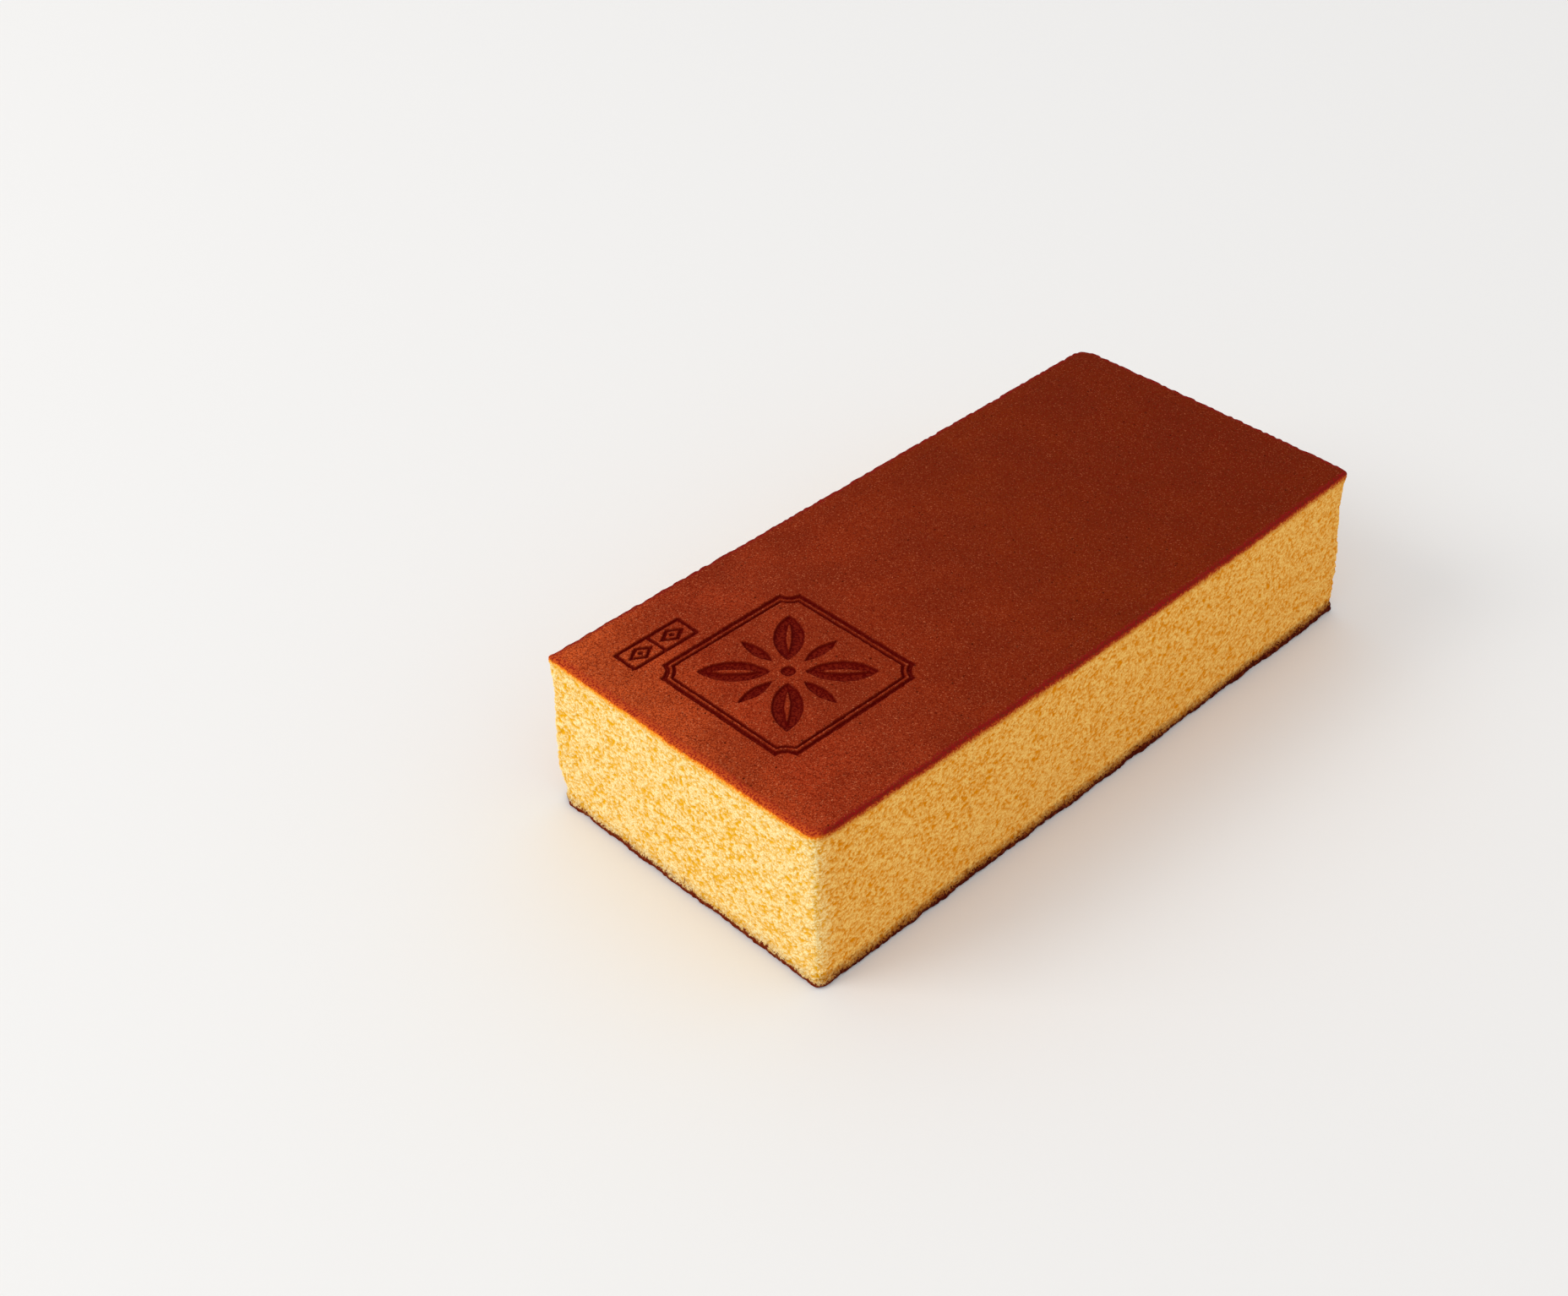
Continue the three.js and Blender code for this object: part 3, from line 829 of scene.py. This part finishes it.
# The cut end's orange and the long sides' crimson are partly their own and partly painted light and shade.
END_TONES = [
    (-2.95, "#b8481e", 0.0), (-2.2, "#be4c1e", 0.75), (-0.4, "#cc5620", 1.0), (0.0, "#d66018", 1.0),
    (0.4, "#ee8414", 1.0), (0.9, "#f6a024", 0.9), (1.5, "#f8b440", 0.55), (2.3, "#f8c860", 0.0),
]
SIDE_TONES = [
    (-1.7, "#7a2412", 0.0), (-0.8, "#701a10", 0.9), (0.0, "#761a10", 1.0), (0.5, "#9a2a14", 1.0),
    (1.1, "#b04c18", 1.0), (1.7, "#c87828", 0.9), (2.4, "#dc9a40", 0.55), (3.4, "#e8b058", 0.0),
]
RIM_JITTER_SPAN = {1: 0.25, 2: 0.75, 3: -0.75, 4: 0.75}
RIM_DOT = "#861214"
RIM_DOTS = Marks(NOISE, 0.55, 1, 0.47, 0.56, 1)
RIM_DOT_SPAN = {1: 0.35, 2: 0.0, 4: 0.85}
WALL_SPAN = {1: -0.3, 2: 0.3}

# The base: its colours, its spots, the grain that frays it, and by height where it, the toasted crumb over it
# and the specks in that fade out.
# The base is redder on the cut end and darker on the other sides, partly its own colour and partly painted
# light and shade.
BASE_END, BASE_SIDE, BASE_CARAMEL = "#6c2008", "#481006", "#7a3416"
CARAMEL_SPOTS = Marks(NOISE, 1.8, 2, 0.52, 0.7, 0.8)
FOOT_GRAIN = 0.6
FOOT_JITTER_SPAN = {1: 0.25, 2: 0.75, 3: -0.8, 4: 0.8}
BASE_SPAN = {1: 2.6, 2: 1.9}
TOASTED, TOASTED_SPAN, TOASTED_COVER_SPAN = "#7a3a10", {1: 6.0, 2: 1.4}, {3: 0.38, 4: 0.9}
SPECK, SPECK_LEVEL_SPAN, SPECK_SPAN = "#96581c", {1: 1.9, 2: 5.0, 3: 0.52, 4: 1.0}, {1: 0.0, 2: 0.05, 4: 0.85}

# How much open foam and dull skin reflect, far less than a smooth surface, and the bump's layers of detail.
SHINE, BUMP_DETAIL = 0.01, 2


def ramp_stops(tones, span):
    """Tones as a colour ramp's stops over a span."""
    low, high = span.values()
    return [((at - low) / (high - low), (*linear(colour)[:3], cover)) for at, colour, cover in tones]


def marked(tree, place, marks, under, colour):
    """A colour with scattered marks of another on it."""
    inputs = {"Vector": place, "Scale": 1 / (marks.size * MM), "Detail": marks.detail}
    pattern = add(tree, marks.pattern, 0, inputs)
    share = add(tree, RANGE, 0, {0: pattern, 1: marks.start, 2: marks.full, 4: marks.cover}, **SMOOTH)
    return add(tree, MIX, 2, {0: share, 6: under, 7: colour}, **COLOUR)


def crumb_colour(tree, place, looks):
    """Yolk-yellow crumb, amber down its openings, with a fine amber mottle; deeper on the long sides, partly
    their own tone and partly painted shade. The amber in the openings and mottle is painted shade for light
    that sinks into its cells.

    Real castella cells are about 0.2 to 0.4 mm across. The mottle stands for them and is drawn a little
    coarser, at 0.5 mm, so that it shows. The pores stand for the larger bubbles, 1 to 1.5 mm apart.
    """
    pale = add(tree, MIX, 2, {0: looks["golden"], 6: CRUMB_END, 7: CRUMB_SIDE}, **COLOUR)
    amber = add(tree, MIX, 2, {0: looks["golden"], 6: PORE_END, 7: PORE_SIDE}, **COLOUR)
    crumb = marked(tree, place, MOTTLE, pale, amber)
    # Amber by the pore look: the crumb's own tone, and painted shade down its holes and valleys.
    crumb = add(tree, MIX, 2, {0: looks["pore"], 6: crumb, 7: amber}, **COLOUR)
    return marked(tree, place, PORES, crumb, amber)


def skin_colour(tree, place, looks):
    """The top skin: red-brown, paler towards the -X end, partly from its browning and partly as painted
    sheen, clouded, finely grained with pinholes dark as painted shade and with painted highlights; nearly
    black-red along the pressed marks' edges.

    The real skin's grain is about 0.3 mm, and it is drawn a little coarser, at 0.4 mm, so that it shows.
    Its pinholes are the size of burst bubbles, with 0.8 mm from one to the next, and are shaken out of line.
    """
    along = add(tree, VECTOR, "Value", {0: place, 1: SKIN_SLANT}, operation="DOT_PRODUCT")
    share = add(tree, RANGE, 0, {0: along, **SKIN_SPAN})
    skin = add(tree, RAMP, 0, {0: share}, ramp_stops(SKIN_TONES, SKIN_SPAN))
    skin = marked(tree, place, SHADES, skin, SHADE)
    skin = marked(tree, place, GRAINS, skin, GRAIN)
    shake = add(tree, NOISE, "Color", {"Vector": place, "Scale": 1 / (SHAKER_SIZE * MM), "Detail": 1})
    reach = (SHAKER_REACH * MM,) * 3
    shaken = add(tree, VECTOR, "Vector", {0: shake, 1: reach, 2: place}, operation="MULTIPLY_ADD")
    # The pinholes, dark as painted shade, shaken out of line.
    skin = marked(tree, shaken, PINHOLE_SHADES, skin, PAINTED_PIT_SHADE)
    # Painted highlights, faded along the slanting line so that they are strongest towards the -X end, where
    # the key light falls.
    bright = add(tree, RANGE, 0, {0: along, **PAINTED_HIGHLIGHT_SPAN})
    skin = marked(tree, shaken, PAINTED_HIGHLIGHTS._replace(cover=bright), skin, PAINTED_HIGHLIGHT)
    # Darker down the modelled pinholes: painted shade.
    skin = add(tree, MIX, 2, {0: looks["pore"], 6: skin, 7: PAINTED_PIT_SHADE}, **COLOUR)
    pressed = marked(tree, place, PATCHES, PRESSED, PRESSED_DEEP)
    skin = add(tree, MIX, 2, {0: looks["pressed"], 6: skin, 7: pressed}, **COLOUR)
    return add(tree, MIX, 2, {0: looks["seam"], 6: skin, 7: PRESSED_SEAM}, **COLOUR)


def rim_colour(tree, place, looks, under):
    """Baking across the rim, over the colours under it: granular orange-red that fades through a bright
    orange line on the ends, crimson on the long sides."""
    fine = add(tree, NOISE, 0, {"Vector": place, "Scale": 1 / (RIM_DOTS.size * MM), "Detail": 1})
    jitter = add(tree, RANGE, 0, {0: fine, **RIM_JITTER_SPAN})
    edge = add(tree, MATHS, 0, {0: looks["edge"], 1: jitter}, operation="ADD")
    share = add(tree, RANGE, 0, {0: edge, **RIM_SPAN})
    on_end, on_side = (
        add(tree, RAMP, 0, {0: share}, ramp_stops(tones, RIM_SPAN)).node.outputs
        for tones in (END_TONES, SIDE_TONES)
    )
    rim = add(tree, MIX, 2, {0: looks["golden"], 6: on_end[0], 7: on_side[0]}, **COLOUR)
    cover = add(tree, MIX, 0, {0: looks["golden"], 2: on_end[1], 3: on_side[1]})
    dot_cover = add(tree, RANGE, 0, {0: looks["edge"], **RIM_DOT_SPAN}, **SMOOTH)
    rim = marked(tree, place, RIM_DOTS._replace(cover=dot_cover), rim, RIM_DOT)
    return add(tree, MIX, 2, {0: cover, 6: under, 7: rim}, **COLOUR)


def foot_colour(tree, place, looks, under):
    """The base crust: dark brown with caramel spots, the crumb toasted just above it, and specks in that."""
    fine = add(tree, NOISE, 0, {"Vector": place, "Scale": 1 / (FOOT_GRAIN * MM), "Detail": 1})
    jitter = add(tree, RANGE, 0, {0: fine, **FOOT_JITTER_SPAN})
    foot = add(tree, MATHS, 0, {0: looks["foot"], 1: jitter}, operation="ADD")
    level = add(tree, RANGE, 0, {0: looks["foot"], **SPECK_LEVEL_SPAN})
    above = add(tree, MATHS, 0, {0: fine, 1: level}, operation="SUBTRACT")
    specks = add(tree, RANGE, 0, {0: above, **SPECK_SPAN}, **SMOOTH)
    colour = add(tree, MIX, 2, {0: specks, 6: under, 7: SPECK}, **COLOUR)
    most = add(tree, RANGE, 0, {0: looks["golden"], **TOASTED_COVER_SPAN})
    toasted = add(tree, RANGE, 0, {0: foot, **TOASTED_SPAN, 4: most}, **SMOOTH)
    colour = add(tree, MIX, 2, {0: toasted, 6: colour, 7: TOASTED}, **COLOUR)
    dark = add(tree, MIX, 2, {0: looks["golden"], 6: BASE_END, 7: BASE_SIDE}, **COLOUR)
    base = marked(tree, place, CARAMEL_SPOTS, dark, BASE_CARAMEL)
    scorched = add(tree, RANGE, 0, {0: foot, **BASE_SPAN}, **SMOOTH)
    return add(tree, MIX, 2, {0: scorched, 6: colour, 7: base}, **COLOUR)


def baked_material(name, roughness, bump_height, bump_size):
    """Baked batter, browned as its attributes say, with a bump of the given height and width in
    millimetres. All of it is a dry, open foam or skin that scatters light and hardly reflects."""
    material = bpy.data.materials.new(name)
    material.use_nodes = True
    tree = material.node_tree
    tree.nodes.clear()
    place = add(tree, "ShaderNodeTexCoord", "Object", {})
    names = ("golden", "edge", "foot", "pore", "pressed", "seam")
    looks = {look: add(tree, "ShaderNodeAttribute", "Fac", {}, attribute_name=look) for look in names}
    on_wall = add(tree, RANGE, 0, {0: looks["edge"], **WALL_SPAN}, **SMOOTH)
    crumb = crumb_colour(tree, place, looks)
    skin = skin_colour(tree, place, looks)
    colour = add(tree, MIX, 2, {0: on_wall, 6: skin, 7: crumb}, **COLOUR)
    colour = rim_colour(tree, place, looks, colour)
    colour = foot_colour(tree, place, looks, colour)
    height = add(tree, NOISE, 0, {"Vector": place, "Scale": 1 / (bump_size * MM), "Detail": BUMP_DETAIL})
    bump = {"Height": height, "Strength": 1.0, "Distance": bump_height * MM}
    normal = add(tree, "ShaderNodeBump", 0, bump)
    surface = {"Base Color": colour, "Roughness": roughness, "Specular IOR Level": SHINE, "Normal": normal}
    shader = add(tree, "ShaderNodeBsdfPrincipled", 0, surface)
    add(tree, "ShaderNodeOutputMaterial", None, {"Surface": shader})
    return material


def plain_material(name, colour, roughness):
    """One colour all over."""
    material = bpy.data.materials.new(name)
    material.use_nodes = True
    shader = material.node_tree.nodes["Principled BSDF"]
    shader.inputs["Base Color"].default_value = linear(colour)
    shader.inputs["Roughness"].default_value = roughness
    return material


# ---------------- the studio

# The camera's angles are in degrees and its lens in millimetres. Other lengths here are in metres, such as
# how far the camera stands off, and how far it is then moved to its right and up.
CAMERA_AZIMUTH, CAMERA_ELEVATION, CAMERA_ROLL = -43.241, 38.594, -1.339
CAMERA_DISTANCE, AIM_RIGHT, AIM_UP = 0.68864, -0.05724, 0.01622
CAMERA_LENS = 49.707
FLOOR_HALF, FLOOR_COLOUR, FLOOR_ROUGHNESS = 3.0, "#eaeaea", 0.8
ROOM_COLOUR, ROOM_STRENGTH = "#fefdfc", 0.9
KEY_PLACE, KEY_SIZE, KEY_POWER, KEY_COLOUR = (-1.9, 1.3, 1.7), 1.4, 26, "#fffdf8"


def make_camera():
    """Looks back along the line that azimuth and elevation give, rolled about it, past the loaf's base."""
    azimuth, elevation, roll = (math.radians(a) for a in (CAMERA_AZIMUTH, CAMERA_ELEVATION, CAMERA_ROLL))
    flat, rise = math.cos(elevation), math.sin(elevation)
    back = Vector((math.sin(azimuth) * flat, -math.cos(azimuth) * flat, rise))
    level = Vector((math.cos(azimuth), math.sin(azimuth), 0))
    upward = back.cross(level)
    right = level * math.cos(roll) + upward * math.sin(roll)
    up = upward * math.cos(roll) - level * math.sin(roll)
    camera = bpy.data.objects.new("camera", bpy.data.cameras.new("camera"))
    camera.data.lens = CAMERA_LENS
    place = back * CAMERA_DISTANCE + right * AIM_RIGHT + up * AIM_UP
    camera.matrix_world = Matrix.Translation(place) @ Matrix((right, up, back)).transposed().to_4x4()
    bpy.context.scene.collection.objects.link(camera)
    bpy.context.scene.camera = camera


def make_light(name, place, size, power, colour):
    """A square soft light that shines at the loaf and isn't seen itself."""
    lamp = bpy.data.lights.new(name, "AREA")
    lamp.size = size
    lamp.energy = power
    lamp.color = linear(colour)[:3]
    light = bpy.data.objects.new(name, lamp)
    light.location = place
    light.rotation_euler = (-Vector(place)).to_track_quat("-Z", "Y").to_euler()
    light.visible_camera = False
    bpy.context.scene.collection.objects.link(light)


def make_studio():
    """A pale floor, a big soft key light from the left, and an even pale room."""
    corners = [(side_x * FLOOR_HALF, side_y * FLOOR_HALF, 0) for side_x, side_y, *_ in CORNERS]
    mesh = bpy.data.meshes.new("floor")
    mesh.from_pydata(corners, [], [range(len(corners))])
    mesh.materials.append(plain_material("pale studio paper", FLOOR_COLOUR, FLOOR_ROUGHNESS))
    floor = bpy.data.objects.new("floor", mesh)
    bpy.context.scene.collection.objects.link(floor)
    world = bpy.data.worlds.new("room")
    world.use_nodes = True
    background = world.node_tree.nodes["Background"]
    background.inputs["Color"].default_value = linear(ROOM_COLOUR)
    background.inputs["Strength"].default_value = ROOM_STRENGTH
    bpy.context.scene.world = world
    make_light("key", KEY_PLACE, KEY_SIZE, KEY_POWER, KEY_COLOUR)
    bpy.context.scene.view_settings.view_transform = "Standard"


# ---------------- the whole

# Castella crumb: whole eggs, sugar, honey and flour whipped to a foam, baked slowly and cut with a long
# knife. Light sinks into its open cells, so the eye gets a dull, soft egg yellow with amber hollows.
crumb = baked_material("castella crumb", roughness=0.9, bump_height=0.06, bump_size=0.4)

# Castella top crust: the sugary top face of the batter, browned by the oven's upper heat and marked with
# a hot iron. The eye gets a deep, even red-brown with a fine grain, close to dull, and darker in the marks.
top_crust = baked_material("browned castella crust", roughness=0.6, bump_height=0.05, bump_size=0.4)

# Castella base crust: the foot of the batter, baked dark on the paper of its tin and torn as it is peeled
# off. The eye gets a thin dark brown line with caramel spots and a ragged edge.
base_crust = baked_material("baked castella base", roughness=0.7, bump_height=0.15, bump_size=0.5)

made = {
    "crumb": strip_pieces("sponge", BASE_CRUST_TOP, RIM_FOOT, (RIM_FOOT, BASE_CRUST_TOP), crumb),
    "top_crust": strip_pieces("crust_rim", RIM_FOOT, None, (RIM_FOOT,), top_crust) + top_pieces(top_crust),
    "base_crust": [base_piece(base_crust)],
}
for slot, pieces in made.items():
    for piece in pieces:
        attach(piece, "root")
        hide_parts("castella")

make_camera()
make_studio()
